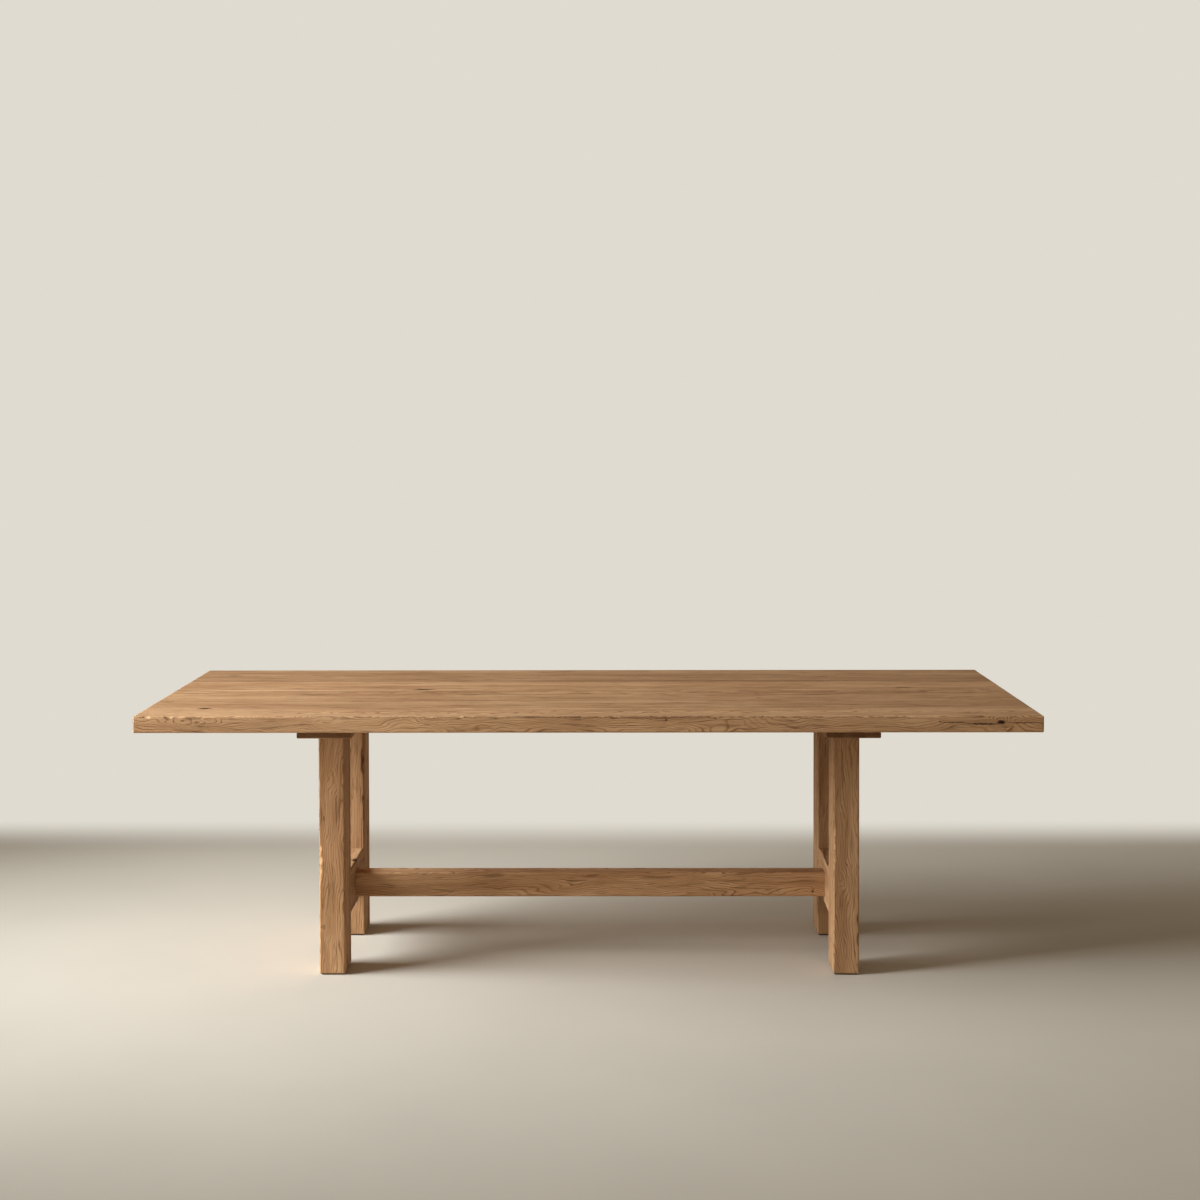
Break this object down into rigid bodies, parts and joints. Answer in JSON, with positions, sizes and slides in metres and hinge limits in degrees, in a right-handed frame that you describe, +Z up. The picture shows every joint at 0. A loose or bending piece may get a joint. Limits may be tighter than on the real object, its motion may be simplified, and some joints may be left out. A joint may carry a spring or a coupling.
{
  "type": "trestle dining table",
  "caption": "Rectangular solid wood dining table: a thick plank top on open trestles of cleat, posts and cross rail, joined by a low stretcher.",
  "frame": {"origin": "on the floor, under the middle of the table", "axes": "+X along the length of the top, +Y to the back, +Z up"},
  "size_m": [2.44, 0.915, 0.76],
  "materials": {
    "top_oak": "matte oiled",
    "trestle_oak": "matte oiled",
    "zinc_steel": "zinc plated, satin",
    "felt": "pressed felt"
  },
  "bodies": {
    "root": {"barrel_nuts": "zinc_steel", "bolt_washers": "zinc_steel", "cleat_left": "trestle_oak", "cleat_right": "trestle_oak", "cross_rail_left": "trestle_oak", "cross_rail_right": "trestle_oak", "felt_pad_back_left": "felt", "felt_pad_back_right": "felt", "felt_pad_front_left": "felt", "felt_pad_front_right": "felt", "post_back_left": "trestle_oak", "post_back_right": "trestle_oak", "post_front_left": "trestle_oak", "post_front_right": "trestle_oak", "screw_washers": "zinc_steel", "stretcher": "trestle_oak", "stretcher_bolts": "zinc_steel", "top_board_1": "top_oak", "top_board_2": "top_oak", "top_board_3": "top_oak", "top_board_4": "top_oak", "top_board_5": "top_oak", "top_board_6": "top_oak", "top_screws": "zinc_steel", "top_tongues": "trestle_oak"}
  },
  "joints": []
}
